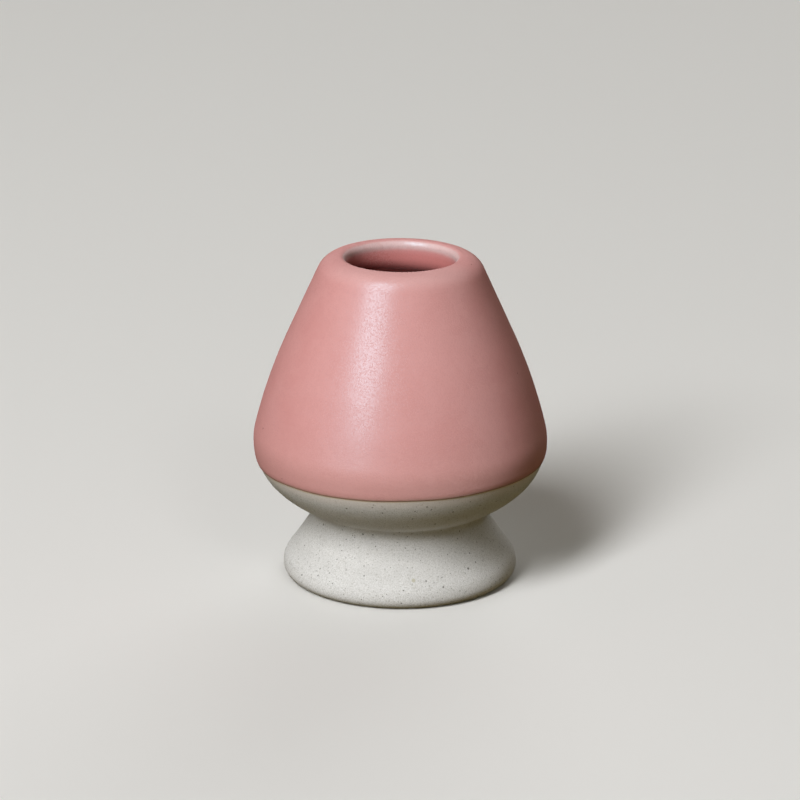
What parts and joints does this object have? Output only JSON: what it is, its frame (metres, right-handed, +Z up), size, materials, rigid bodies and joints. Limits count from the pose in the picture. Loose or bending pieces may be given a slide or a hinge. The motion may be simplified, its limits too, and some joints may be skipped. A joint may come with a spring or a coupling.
{
  "type": "tea whisk holder",
  "caption": "Hollow bulb-shaped ceramic stand with a rolled lip and round mouth on a flared pedestal foot, to dry and keep the shape of a bamboo tea whisk.",
  "frame": {"origin": "centre of the foot ring, on the surface that the holder stands on", "axes": "+Z up along the axis that the holder is turned about, from the foot to the mouth"},
  "size_m": [0.0642, 0.0642, 0.072],
  "materials": {
    "stoneware": "bare, matte, speckled",
    "slip": "bare, matte, sponged smooth",
    "pink_glaze": "satin",
    "pink_lining": "satin"
  },
  "bodies": {
    "root": {"stoneware_bulb": "stoneware", "stoneware_foot": "stoneware", "luting_slip": "slip", "outer_glaze": "pink_glaze", "inner_glaze": "pink_lining"}
  },
  "joints": []
}
